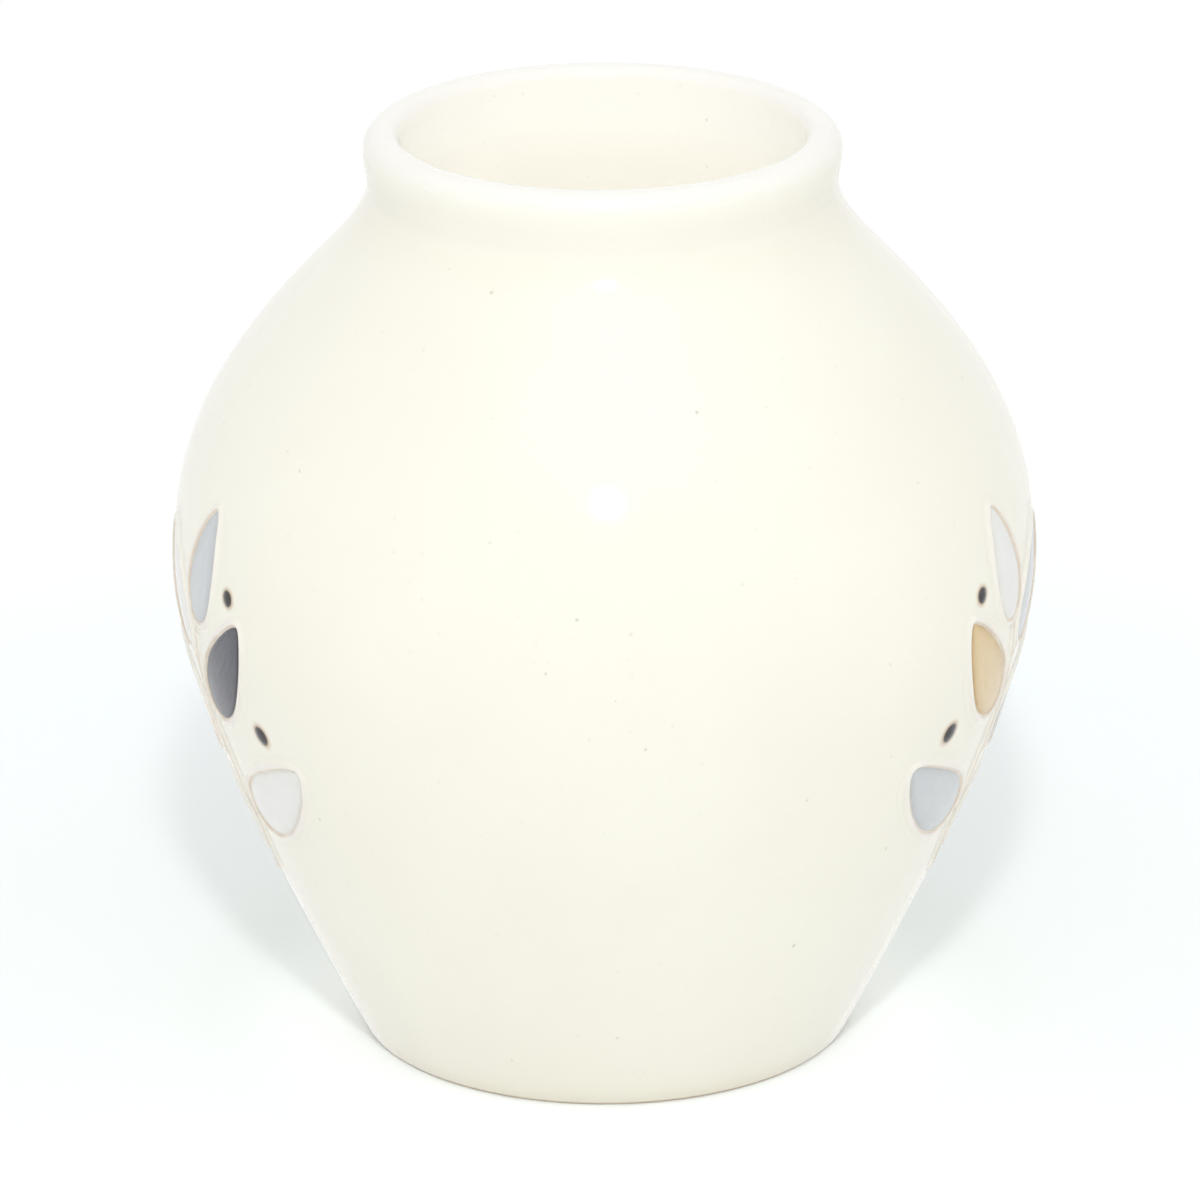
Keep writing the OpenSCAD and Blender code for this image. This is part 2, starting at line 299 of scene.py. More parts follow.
lower_handles = [foot_edge, foot_edge + FOOT_PULL * foot_way, belly - BELLY_PULL_DOWN * UP, belly]
upper_handles = [belly, belly + BELLY_PULL_UP * UP, shoulder - SHOULDER_PULL_DOWN * shoulder_way, shoulder]
neck_handles = [shoulder, shoulder + SHOULDER_PULL_UP * shoulder_way, neck - NECK_PULL * UP, neck]
lower_wall = stretch(lower_handles, LOWER_WALL_STEPS)
upper_wall = stretch(upper_handles, UPPER_WALL_STEPS)
neck_wall = stretch(neck_handles, NECK_STEPS)
lip_wall = stretch([neck, neck + lip_blend, lip_outside - lip_blend, lip_outside], LIP_WALL_STEPS)
lip_over = arc(lip_centre, (WALL_T - LIP_EDGE_ROUND, LIP_ROUND), 0, 90, LIP_OVER_STEPS)
outside = np.vstack([lower_wall, upper_wall, neck_wall, lip_wall, lip_over])

lip_under = arc(lip_edge_centre, LIP_EDGE_ROUND, 90, 180, LIP_UNDER_STEPS)[1:-1]
floor_z = FOOT_RECESS + FLOOR_T
wall_line = np.vstack([lower_wall, upper_wall, neck_wall, [neck]])
inner_wall = (wall_line - WALL_T * right_of(along(wall_line)))[::-1]
throat_end = inner_wall[0]
throat_pull = (lip_inside[1] - throat_end[1]) / 2 * UP
throat = stretch([lip_inside, lip_inside - throat_pull, throat_end + throat_pull, throat_end], THROAT_STEPS)
steep_wall = inner_wall[inner_wall[:, 1] > floor_z + FLOOR_ROUND]
wall_end = steep_wall[-1]
wall_end_way = steep_wall[-1] - steep_wall[-2]
floor_corner = wall_end + wall_end_way * (wall_end[1] - floor_z) / -wall_end_way[1]
floor_edge = np.array([floor_corner[0] - FLOOR_ROUND, floor_z])
corner_pulls = [(wall_end + 2 * floor_corner) / 3, (floor_edge + 2 * floor_corner) / 3]
corner = stretch([wall_end, *corner_pulls, floor_edge], CORNER_STEPS)
floor_line = np.stack([np.linspace(floor_edge[0], 0, FLOOR_STEPS), np.full(FLOOR_STEPS, floor_z)], 1)
inside = np.vstack([lip_under, throat, steep_wall[:-1], corner, floor_line])
skin = np.vstack([outside, inside])
skin_normal = right_of(along(skin))
skin_normal[-1] = UP

# The outside measured along the wall, so that decoration keeps its size on the curve
ruler = np.vstack([stretch(lower_handles, RULER_STEPS), stretch(upper_handles, RULER_STEPS)])
ruler_normal = right_of(along(ruler))
run = np.concatenate([[0], np.cumsum(np.linalg.norm(np.diff(ruler, axis=0), axis=1))])
spray_run = np.interp(SPRAY_Z, ruler[:, 1], run)


def hand(turn, z):
    """How far the wall lies inside its true circle, as a hand-turned wall does."""
    waves = sum(np.sin(times * turn + twist * z + phase) for times, twist, phase in HAND_WAVES)
    inwards = HAND_DEPTH * (waves - len(HAND_WAVES))
    return inwards * smooth_step(z, *HAND_FROM_FOOT) * smooth_step(z, *HAND_FROM_LIP)


def on_wall(place, height, bearing):
    """Points at places across and up the wall from a spray's middle, standing out by a height."""
    s = spray_run + place[:, 1]
    r, z = [np.interp(s, run, ruler[:, i]) for i in (0, 1)]
    out_r, out_z = [np.interp(s, run, ruler_normal[:, i]) for i in (0, 1)]
    turn = math.radians(bearing - 90) + place[:, 0] / r
    r = r + hand(turn, z) + height * out_r
    return np.stack([r * np.cos(turn), r * np.sin(turn), z + height * out_z], 1)


# Meshes

def linked(made):
    """Puts an object in the scene."""
    bpy.context.scene.collection.objects.link(made)
    return made


def piece(name, points, faces, values, material, slot, *nodes):
    """A smooth mesh piece, its faces outwards, that rides on the pot and stands for some CAD nodes."""
    mesh = bpy.data.meshes.new(name)
    mesh.from_pydata((np.asarray(points) * MM).tolist(), [], faces)
    shape = bmesh.new()
    shape.from_mesh(mesh)
    bmesh.ops.recalc_face_normals(shape, faces=shape.faces)
    shape.to_mesh(mesh)
    shape.free()
    for key, value in values.items():
        attribute = mesh.attributes.new(key, "FLOAT", "POINT")
        attribute.data.foreach_set("value", np.asarray(value, np.float32))
    mesh.polygons.foreach_set("use_smooth", np.ones(len(mesh.polygons), bool))
    mesh.materials.append(material)
    mesh.validate()
    made = linked(bpy.data.objects.new(name, mesh))
    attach(made, "root")
    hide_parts(*nodes)


def grid_faces(rows, columns, start=0, around=True):
    """Quads between rows of points, closed round each row where around is true."""
    last = columns if around else columns - 1
    faces = []
    for i in range(rows - 1):
        low = start + i * columns
        for j in range(last):
            k = (j + 1) % columns
            faces.append((low + j, low + columns + j, low + columns + k, low + k))
    return faces


def fans(rows, columns):
    """Triangles that close the first and last rows of a grid with two points that follow it."""
    first = rows * columns
    last_row = first - columns
    faces = []
    for j in range(columns):
        k = (j + 1) % columns
        faces.append((first, j, k))
        faces.append((first + 1, last_row + k, last_row + j))
    return faces


def turned_solid(line, bulge=None):
    """A line of radius and height, from the axis round to the axis, turned into a closed mesh."""
    turn = circle(TURN_STEPS)
    body = line[1:-1]
    r = np.repeat(body[:, :1], TURN_STEPS, 1)
    z = np.repeat(body[:, 1:], TURN_STEPS, 1)
    if bulge is not None:
        r = r + bulge[1:-1, None] * hand(turn[None, :], z)
    ring_points = np.stack([r * np.cos(turn), r * np.sin(turn), z], 2).reshape(-1, 3)
    points = np.vstack([ring_points, [[0, 0, line[0][1]], [0, 0, line[-1][1]]]])
    return points, grid_faces(len(body), TURN_STEPS) + fans(len(body), TURN_STEPS)


def per_ring(value):
    """A value for each point of a turned line, as one for each point of its mesh."""
    return np.concatenate([np.repeat(value[1:-1], TURN_STEPS), [value[0], value[-1]]])


def together(parts):
    """Several meshes as one."""
    points, faces, values, start = [], [], {}, 0
    for some_points, some_faces, some_values in parts:
        points.append(some_points)
        faces += [tuple(start + i for i in face) for face in some_faces]
        for key, value in some_values.items():
            values.setdefault(key, []).append(value)
        start += len(some_points)
    return np.vstack(points), faces, {key: np.concatenate(value) for key, value in values.items()}


# Materials

# Places of the colour sockets in a mix node
MIX_A = 6
MIX_B = 7
MIX_RESULT = 2


def smooth_range(tree, low, high, to_low, to_high):
    """A map node that passes smoothly from one value to another."""
    node = tree.nodes.new("ShaderNodeMapRange")
    node.interpolation_type = "SMOOTHSTEP"
    for key, number in zip(("From Min", "From Max", "To Min", "To Max"), (low, high, to_low, to_high)):
        node.inputs[key].default_value = number
    return node


class Nodes:
    """A node material with short ways to add nodes."""

    def __init__(self, name):
        self.material = bpy.data.materials.new(name)
        self.material.use_nodes = True
        self.tree = self.material.node_tree
        self.shader = self.tree.nodes["Principled BSDF"]
        self.place = self.add("ShaderNodeTexCoord").outputs["Object"]

    def add(self, kind, **settings):
        node = self.tree.nodes.new(kind)
        for key, value in settings.items():
            setattr(node, key, value)
        return node

    def join(self, source, socket):
        self.tree.links.new(source, socket)

    def put(self, value, socket):
        """Links a socket, or sets a plain value."""
        if isinstance(value, bpy.types.NodeSocket):
            self.join(value, socket)
        else:
            socket.default_value = value

    def value(self, name):
        return self.add("ShaderNodeAttribute", attribute_name=name).outputs["Fac"]

    def noise(self, scale, detail, vector=None, rough=0.5):
        node = self.add("ShaderNodeTexNoise")
        node.inputs["Scale"].default_value = scale
        node.inputs["Detail"].default_value = detail
        node.inputs["Roughness"].default_value = rough
        self.join(vector or self.place, node.inputs["Vector"])
        return node.outputs["Fac"]

    def math(self, kind, a, b=0.0, clamp=False):
        node = self.add("ShaderNodeMath", operation=kind, use_clamp=clamp)
        self.put(a, node.inputs[0])
        self.put(b, node.inputs[1])
        return node.outputs["Value"]

    def times(self, a, b, clamp=False):
        return self.math("MULTIPLY", a, b, clamp)

    def map(self, value, low, high, to_low=0.0, to_high=1.0):
        node = smooth_range(self.tree, low, high, to_low, to_high)
        self.join(value, node.inputs["Value"])
        return node.outputs["Result"]

    def patches(self, scale, detail, span, to=(0.0, 1.0), vector=None, rough=0.5):
        """Noise that passes from one value to the other over a span of its range."""
        return self.map(self.noise(scale, detail, vector, rough), *span, *to)

    def mix(self, share, a, b):
        node = self.add("ShaderNodeMix", data_type="RGBA")
        self.put(share, node.inputs["Factor"])
        self.put(a, node.inputs[MIX_A])
        self.put(b, node.inputs[MIX_B])
        return node.outputs[MIX_RESULT]

    def bump(self, height, strength, distance, below=None):
        node = self.add("ShaderNodeBump")
        node.inputs["Strength"].default_value = strength
        node.inputs["Distance"].default_value = distance
        self.join(height, node.inputs["Height"])
        if below is not None:
            self.join(below, node.inputs["Normal"])
        return node.outputs["Normal"]


def rgb(r, g, b):
    return (r, g, b, 1)


CREAM = rgb(0.89, 0.87, 0.765)
CREAM_PALE = rgb(0.905, 0.89, 0.79)
CREAM_DEEP = rgb(0.86, 0.80, 0.66)
# Paler cream for the lip's thin crest, and for the hollow, where it is painted light that lifts the shade
# and the yellow of light bounced round inside
CREAM_THIN_LIP_AND_PAINTED_HOLLOW_LIGHT = rgb(0.925, 0.912, 0.865)
TAN = rgb(0.56, 0.40, 0.25)
SLIP = rgb(0.90, 0.885, 0.83)
INK = rgb(0.035, 0.034, 0.036)
INK_CLOUD = rgb(0.11, 0.10, 0.095)
INK_CLOUD_SHARE = 0.5
CLAY = rgb(0.66, 0.54, 0.39)
CLAY_PALE = rgb(0.77, 0.67, 0.53)
CLAY_GRAIN = rgb(0.45, 0.35, 0.24)
CLAY_GRAIN_SHARE = 0.5
SPECK = rgb(0.30, 0.26, 0.20)
# Specks: cells to the metre, share of the cells that hold one, and largest radius in metres
SPECK_CELLS = 700
SPECK_SHARE = 0.3
SPECK_R = 0.00032
# Strength of the faintest speck, what the darkest has beyond that, and how rare dark ones are
SPECK_FAINT = 0.1
SPECK_DARK = 0.6
SPECK_RARITY = 9
GLAZE_IOR = 1.5
# Each pool's colour in the middle, at the rim and in its streaks, and how far the rim takes its own colour
POOL_COLOURS = {
    # The dark pool's lighter, bluish middle is a painted sheen on its charcoal glaze
    "dark": (rgb(0.07, 0.073, 0.095), rgb(0.03, 0.027, 0.028), rgb(0.14, 0.147, 0.18), 0.85),
    "grey": (rgb(0.57, 0.605, 0.625), rgb(0.43, 0.42, 0.42), rgb(0.67, 0.695, 0.71), 0.7),
    "white": (rgb(0.81, 0.815, 0.79), rgb(0.64, 0.60, 0.53), rgb(0.87, 0.87, 0.85), 0.55),
    "amber": (rgb(0.72, 0.56, 0.32), rgb(0.47, 0.29, 0.08), rgb(0.80, 0.66, 0.43), 1.0),
}
# Strength of the streaks and of the clouds that break them, and how far streaks are drawn out along a leaf
STREAK_SHARE = 0.45
POOL_CLOUD_SHARE = 0.35
STREAK_SQUEEZE = 0.22


def specks(n):
    """Small soft dots scattered in the glaze: most of them faint, a few dark."""
    cells = n.add("ShaderNodeTexVoronoi", feature="F1")
    cells.inputs["Scale"].default_value = SPECK_CELLS
    n.join(n.place, cells.inputs["Vector"])
    draw = n.add("ShaderNodeSeparateColor")
    n.join(cells.outputs["Color"], draw.inputs["Color"])
    chosen = n.math("GREATER_THAN", draw.outputs["Red"], 1 - SPECK_SHARE)
    size = n.times(draw.outputs["Green"], SPECK_R * SPECK_CELLS)
    spot = n.math("SUBTRACT", 1, n.math("DIVIDE", cells.outputs["Distance"], size), clamp=True)
    rare = n.math("POWER", draw.outputs["Blue"], SPECK_RARITY)
    dark = n.math("ADD", n.times(rare, SPECK_DARK), SPECK_FAINT)
    return n.times(n.times(spot, chosen), dark)


def cream_colour(n, pooled=None, inside=None):
    """The cream glaze: cloudy, paler on the lip's crest where the glaze runs thin, paler all through the
    hollow as painted light that lifts its shade, deeper where it pooled and, under the lip, darker with some
    painted shade, with fine specks.
    """
    colour = n.mix(n.patches(scale=38, detail=4, span=(0.35, 0.68)), CREAM, CREAM_PALE)
    if inside is not None:
        colour = n.mix(inside, colour, CREAM_THIN_LIP_AND_PAINTED_HOLLOW_LIGHT)
    if pooled is not None:
        colour = n.mix(pooled, colour, CREAM_DEEP)
    return n.mix(specks(n), colour, SPECK)


def glossy_finish(n, *rough):
    """The sheen of a fired glaze: gloss between two roughnesses, over a faintly rippled face."""
    n.join(n.patches(scale=210, detail=3, span=(0.3, 0.7), to=rough), n.shader.inputs["Roughness"])
    n.shader.inputs["IOR"].default_value = GLAZE_IOR
    ripple = n.bump(n.noise(scale=95, detail=2), strength=0.06, distance=0.001)
    pores = n.bump(n.noise(scale=1300, detail=2), strength=0.012, distance=0.0003, below=ripple)
    n.join(pores, n.shader.inputs["Normal"])


def cream_glaze():
    n = Nodes("cream_glaze")
    n.join(cream_colour(n, n.value("pooled"), n.value("inside")), n.shader.inputs["Base Color"])
    glossy_finish(n, 0.07, 0.13)
    return n.material


def slip_line():
    """Raised slip under the glaze: pale on its crest, with a patchy tan stain, fading into the cream."""
    n = Nodes("slip_line")
    patchy = n.patches(scale=420, detail=3, span=(0.25, 0.7), to=(0.55, 1))
    stain = n.times(n.value("stain"), patchy)
    colour = n.mix(n.value("crest"), cream_colour(n), SLIP)
    n.join(n.mix(stain, colour, TAN), n.shader.inputs["Base Color"])
    glossy_finish(n, 0.09, 0.16)
    return n.material


def dark_slip():
    """Raised near-black slip with a brown fringe."""
    n = Nodes("dark_slip")
    cloud = n.patches(scale=900, detail=3, span=(0.3, 0.75))
    ink = n.mix(n.times(cloud, INK_CLOUD_SHARE), INK, INK_CLOUD)
    colour = n.mix(n.value("stain"), cream_colour(n), TAN)
    n.join(n.mix(n.value("ink"), colour, ink), n.shader.inputs["Base Color"])
    glossy_finish(n, 0.08, 0.14)
    return n.material


def pool_glaze(name, middle, edge, streak, edge_share):
    """Colour run into a leaf: deeper where it gathers at the rim, with faint streaks along the leaf. In the
    dark pools the lighter, bluish middle is a painted sheen.
    """
    n = Nodes(name)
    brushed = n.add("ShaderNodeCombineXYZ")
    n.join(n.value("across"), brushed.inputs["X"])
    n.join(n.times(n.value("along"), STREAK_SQUEEZE), brushed.inputs["Y"])
    n.join(n.value("leaf"), brushed.inputs["Z"])
    streaks = n.patches(scale=2.6, detail=4, span=(0.35, 0.72), vector=brushed.outputs["Vector"], rough=0.6)
    cloud = n.patches(scale=330, detail=4, span=(0.3, 0.72))
    colour = n.mix(n.times(streaks, STREAK_SHARE), middle, streak)
    colour = n.mix(n.times(cloud, POOL_CLOUD_SHARE), colour, middle)
    gathered = n.times(n.value("rim"), n.patches(scale=500, detail=2, span=(0.2, 0.75), to=(0.6, 1)))
    colour = n.mix(n.times(gathered, edge_share, clamp=True), colour, edge)
    n.join(colour, n.shader.inputs["Base Color"])
    glossy_finish(n, 0.06, 0.12)
    return n.material


def bare_clay():
    n = Nodes("bare_clay")
    colour = n.mix(n.patches(scale=130, detail=5, span=(0.3, 0.72), rough=0.65), CLAY, CLAY_PALE)
    grain = n.patches(scale=2600, detail=3, span=(0.58, 0.72))
    n.join(n.mix(n.times(grain, CLAY_GRAIN_SHARE), colour, CLAY_GRAIN), n.shader.inputs["Base Color"])
    rough = n.patches(scale=800, detail=3, span=(0.3, 0.7), to=(0.72, 0.92))
    n.join(rough, n.shader.inputs["Roughness"])
    sand = n.bump(n.noise(scale=2200, detail=4, rough=0.7), strength=0.35, distance=0.0002)
    lumps = n.bump(n.noise(scale=300, detail=3), strength=0.15, distance=0.0004, below=sand)
    n.join(lumps, n.shader.inputs["Normal"])
    return n.material


CREAM_GLAZE = cream_glaze()
SLIP_LINE = slip_line()
DARK_SLIP = dark_slip()
BARE_CLAY = bare_clay()
POOLS = {paint: pool_glaze(paint + "_glaze", *colours) for paint, colours in POOL_COLOURS.items()}


# The pot

def glaze_coat():
    """One coat of glaze, from the middle of the hollow, over the lip, to a rolled edge above the foot."""
    under = skin - GLAZE_T * skin_normal
    roll_centre = (skin[0] + under[0]) / 2
    first = math.degrees(math.atan2(skin_normal[0][1], skin_normal[0][0]))
    roll = arc(roll_centre, GLAZE_T / 2, first, first - 180, ROLL_STEPS)[1:-1]
    line = np.vstack([skin[::-1], roll, under[:-1:2], under[-1:]])
    hidden = len(line) - len(skin)
    ring = np.arange(len(skin))
    is_outside = ring < len(outside)
    z = skin[:, 1]
    # Under the lip the deeper colour is partly thicker glaze and partly painted shade in the crease
    shaded_and_pooled_under_lip = NECK_SHADE_AND_POOL * bell(z - neck[1] + NECK_SHADE_AND_POOL_DROP, NECK_SHADE_AND_POOL_SPREAD) * is_outside
    in_hollow = HOLLOW_POOL * smooth_step(z, *HOLLOW_POOL_Z) * ~is_outside
    at_foot = FOOT_POOL * smooth_step(z, *FOOT_POOL_Z) * is_outside
    pooled = np.clip(shaded_and_pooled_under_lip + in_hollow + at_foot, 0, 1)
    # Paler towards the lip's crest, and paler all through the hollow, where the paler colour is painted
    # light
    pale = smooth_step(ring, *[len(outside) - count for count in PALE_RINGS])
    values = {
        "pooled": per_ring(np.concatenate([pooled[::-1], np.full(hidden, HIDDEN_POOL)])),
        "inside": per_ring(np.concatenate([pale[::-1], np.zeros(hidden)])),
    }
    points, faces = turned_solid(line, np.concatenate([is_outside[::-1], np.zeros(hidden)]))
    piece("glaze_coat", points, faces, values, CREAM_GLAZE, "cream_glaze", "outer_glaze", "inner_glaze")


def clay_core():
    """The thrown clay under the glaze, which shows only at the foot ring. Gives the recess's radius."""
    surface = skin - (GLAZE_T + COAT_GAP) * skin_normal
    edge = surface[0]
    ring_out = edge[0] - FOOT_EDGE_H
    ring_in = ring_out - FOOT_RING_W
    ring_flat = ring_in + FOOT_RING_EASE
    recess_r = ring_in - RECESS_DRAFT
    recess = np.stack([np.linspace(0, recess_r, RECESS_STEPS), np.full(RECESS_STEPS, FOOT_RECESS)], 1)[:-1]
    inner_pulls = [(ring_in - FOOT_RING_EASE / 2, FOOT_RING_EASE), (ring_in, 0)]
    inner_round = stretch([(recess_r, FOOT_RECESS), *inner_pulls, (ring_flat, 0)], FOOT_ROUND_STEPS)
    ring = np.stack([np.linspace(ring_flat, ring_out, FOOT_RING_STEPS), np.zeros(FOOT_RING_STEPS)], 1)[:-1]
    outer_round = stretch([(ring_out, 0), (edge[0], 0), (edge[0], 0), edge], FOOT_ROUND_STEPS)
    points, faces = turned_solid(np.vstack([recess, inner_round, ring, outer_round, surface]))
    piece("clay_core", points, faces, {}, BARE_CLAY, "clay", "clay_body")
    return recess_r


def base_patch(recess_r):
    """The glaze in the recess, with faint turning rings and a rounded edge."""
    low = FOOT_RECESS - GLAZE_T
    high = FOOT_RECESS - COAT_GAP
    round_r = (high - low) / 2
    edge = recess_r - COAT_GAP
    flat_r = edge - round_r
    r = np.linspace(0, flat_r, PATCH_STEPS)
    waves = np.sin(r * 2 * math.pi / PATCH_RING_PITCH) * smooth_step(r, *PATCH_RINGS_FROM)
    face = np.stack([r, low + PATCH_RING_H * (waves + 1)], 1)
    rim = arc((flat_r, low + round_r), round_r, -90, 90, PATCH_RIM_STEPS)
    line = np.vstack([face, rim[1:], [(0, high)]])
    pooled = PATCH_POOL + (1 - PATCH_POOL) * smooth_step(r, edge - PATCH_POOL_W, flat_r)
    pooled = np.concatenate([pooled, np.ones(len(line) - PATCH_STEPS)])
    points, faces = turned_solid(line)
    values = {"pooled": per_ring(pooled)}
    piece("base_patch", points, faces, values, CREAM_GLAZE, "cream_glaze", "base_glaze")


# The sprays

def stem_path(flip, share):
    return bezier([(x * flip, y) for x, y in STEM], share)


def leaf_frame(leaf, flip):
    """Root, direction and bend of a leaf."""
    step = 0.001
    stem_way = stem_path(flip, leaf.share + step) - stem_path(flip, leaf.share - step)
    way = turned(stem_way / np.linalg.norm(stem_way), -leaf.side * flip * leaf.angle)
    root = stem_path(flip, leaf.share) + (LINE_W + leaf.gap) * way
    return root, way, leaf.bend * turned(way, leaf.side * flip * 90)


def leaf_loop(leaf, flip):
    """The line round a leaf, from its root along one side to its tip and back along the other."""
    root, way, bend = leaf_frame(leaf, flip)
    t = circle(LEAF_STEPS)
    u = ((1 - np.cos(t)) / 2)[:, None]
    half_w = (leaf.width / 2 * np.sin(t) * (1 + LEAF_EGG * np.cos(t)))[:, None]
    return root + leaf.length * (u * way + u * u * bend) + half_w * right_of(way + 2 * u * bend)


def columns_across(inner, outer):
    """Places across a line, from its left edge to its right, close together on the bead and at the edges."""
    spread = np.append(np.linspace(0, 1, SKIRT_STEPS)[:-1] ** SKIRT_EASE, [SKIRT_EDGE, 1])
    left = -BEAD_FLANK - (inner - BEAD_FLANK) * spread[:0:-1]
    right = BEAD_FLANK + (outer - BEAD_FLANK) * spread[1:]
    return np.concatenate([left, np.linspace(-BEAD_FLANK, BEAD_FLANK, CREST_STEPS), right])


def ribbon(path, closed, inner, size, bearing, stain_at):
    """A trailed line along a path: points, faces and values. inner is its reach on the left side,
    size its thickness at each point, and stain_at the place across it of its tan stain."""
    outer = LINE_W / 2 + SKIRT_W
    side = right_of(along(path, closed))
    across = columns_across(inner, outer)
    under = np.linspace(outer, -inner, LINE_UNDER_STEPS)
    columns = len(across) + len(under)
    rows = len(path)
    fade = smooth_step(size, *LINE_FADE)
    points, stain, crest = [], [], []
    for x in across:
        height = FILM_H + LINE_H * size * bell(x, BEAD_SPREAD)
        points.append(on_wall(path + side * (x * size)[:, None], height, bearing))
        halo = 1 - smooth_step(abs(x - stain_at), 0, outer - stain_at)
        stain.append((STAIN_SHARE * bell(x - stain_at, STAIN_SPREAD) + HALO_SHARE * halo) * fade)
        crest.append(bell(x, BEAD_SPREAD) ** CREST_POWER * fade)
    for x in under:
        points.append(on_wall(path + side * (x * size)[:, None], FILM_BASE, bearing))
        stain.append(np.zeros(rows))
        crest.append(np.zeros(rows))
    points = np.stack(points, 1).reshape(-1, 3)
    faces = grid_faces(rows, columns)
    end = (rows - 1) * columns
    if closed:
        faces += [(end + j, j, (j + 1) % columns, end + (j + 1) % columns) for j in range(columns)]
    else:
        faces.append(tuple(range(columns)))
        faces.append(tuple(end + j for j in range(columns - 1, -1, -1)))
    return points, faces, {"stain": np.stack(stain, 1).ravel(), "crest": np.stack(crest, 1).ravel()}


def uneven(count, seed, closed):
    """The slight swelling and thinning of a line trailed by hand."""
    t = np.arange(count) / (count if closed else count - 1) * 2 * math.pi
    return 1 + sum(depth * np.sin(waves * t + shift * seed) for waves, depth, shift in LINE_WAVES)


def stalk_line(leaf, flip, bearing):
    """The short line that joins a leaf to its stem."""
    root = leaf_frame(leaf, flip)[0]
    start = stem_path(flip, leaf.share)
    end = 1 + (LINE_W / 2 - STAIN_INSET) / np.linalg.norm(root - start)
    path = start + np.linspace(0, end, STALK_STEPS)[:, None] * (root - start)
    return ribbon(path, False, LINE_W / 2 + SKIRT_W, np.linspace(*STALK_SIZE, STALK_STEPS), bearing, 0)


def stem_line(flip, bearing):
    """The stem, with a blob near its start and a thinner end."""
    share = np.linspace(0, 1, STEM_STEPS)
    grown = STEM_START + (1 - STEM_START) * smooth_step(share, 0, STEM_GROW)
    thinned = STEM_THIN * smooth_step(share, STEM_THIN_FROM, 1)
    blob = BLOB * bell(share - BLOB_PLACE, BLOB_SPREAD)
    size = (grown - thinned + blob) * uneven(STEM_STEPS, STEM_SEED, False)
    return ribbon(stem_path(flip, share), False, LINE_W / 2 + SKIRT_W, size, bearing, 0)


def leaf_line(leaf, number, flip, bearing):
    """The line round a leaf, stained where it holds the pool."""
    size = uneven(LEAF_STEPS, LEAF_SEED_STEP * number + flip, True)
    return ribbon(leaf_loop(leaf, flip), True, LOOP_REACH, size, bearing, STAIN_INSET - LINE_W / 2)


def spray_lines(name, bearing, flip):
    parts = [stalk_line(leaf, flip, bearing) for leaf in LEAVES]
    parts.append(stem_line(flip, bearing))
    parts += [leaf_line(leaf, i, flip, bearing) for i, leaf in enumerate(LEAVES)]
    points, faces, values = together(parts)
    piece(name + "_spray_lines", points, faces, values, SLIP_LINE, "slip_line", name + "_spray_outline")


# Places of a pool's points across a leaf, closer together near its sides
row_share = (1 - np.cos(np.linspace(0, math.pi, POOL_ROWS))) / 2


def leaf_rows(leaf, flip, inset):
    """Rows of places across a leaf, set in from its line, their depths from the rim, and the two ends."""
    loop = leaf_loop(leaf, flip)
    edge = loop - inset * right_of(along(loop, True))
    half = LEAF_STEPS // 2
    right = edge[1:half]
    left = edge[:half:-1]
    rows = right[:, None] + row_share[None, :, None] * (left - right)[:, None]
    depth = np.linalg.norm(left - right, axis=1)[:, None] * np.minimum(row_share, 1 - row_share)[None, :]
    return rows.reshape(-1, 2), depth.ravel(), edge[[0, half]]


def pool_faces(rows):
    """Faces of a pool: its top and underside, the fans at its root and tip, and the wall round it.
    The points are the top's rows, its root and its tip, and then the same of the underside."""
    root = rows * POOL_ROWS
    tip = root + 1
    low = root + 2
    last = root - POOL_ROWS
    faces = grid_faces(rows, POOL_ROWS, 0, False)
    faces += [face[::-1] for face in grid_faces(rows, POOL_ROWS, low, False)]
    for j in range(POOL_ROWS - 1):
        faces.append((root, j, j + 1))
        faces.append((tip, last + j + 1, last + j))
        faces.append((low + root, low + j + 1, low + j))
        faces.append((low + tip, low + last + j, low + last + j + 1))
    for first in (0, POOL_ROWS - 1):
        edge = [root] + [i * POOL_ROWS + first for i in range(rows)] + [tip]
        for a, b in zip(edge, edge[1:]):
            faces.append((a, low + a, low + b, b) if first == 0 else (a, b, low + b, low + a))
    return faces


def leaf_pool(leaf, number, flip, bearing):
    """The colour inside a leaf: rows of points across it, above and below, between its root and its tip."""
    place, depth, ends = leaf_rows(leaf, flip, LINE_W / 2 - POOL_LAP)
    climb = POOL_DIP + (1 - POOL_DIP) * smooth_step(depth, 0, POOL_CLIMB_W)
    dome = POOL_DOME_SHARE * smooth_step(depth, *POOL_DOME)
    height = FILM_H + POOL_EDGE_H * climb + (POOL_H - POOL_EDGE_H) * dome
    under_place, _, under_ends = leaf_rows(leaf, flip, LINE_W / 2 + POOL_SHORT)
    points = np.vstack([
        on_wall(place, height, bearing),
        on_wall(ends, FILM_H + POOL_DIP * POOL_EDGE_H, bearing),
        on_wall(under_place, FILM_BASE, bearing),
        on_wall(under_ends, FILM_BASE, bearing),
    ])
    rows = len(place) // POOL_ROWS
    along_leaf = np.append(np.repeat(np.linspace(0, 1, rows), POOL_ROWS) * leaf.length, [0, leaf.length])
    across_leaf = np.append(np.tile(2 * row_share - 1, rows) * leaf.width / 2, [0, 0])
    values = {
        "rim": np.append(np.exp(-depth / RIM_SPREAD), np.ones(len(points) - len(depth))),
        "along": np.tile(along_leaf, 2),
        "across": np.tile(across_leaf, 2),
        "leaf": np.full(len(points), LEAF_DRAW_STEP * number + BEARING_DRAW_STEP * bearing),
    }
    return points, pool_faces(rows), values


def spray_pools(name, paint, bearing, flip, paints):
    pools = [leaf_pool(leaf, i, flip, bearing) for i, leaf in enumerate(LEAVES) if paints[i] == paint]
    points, faces, values = together(pools)
    node = name + "_spray_" + paint + "_leaves"
    piece(name + "_spray_" + paint + "_pools", points, faces, values, POOLS[paint], paint + "_glaze", node)


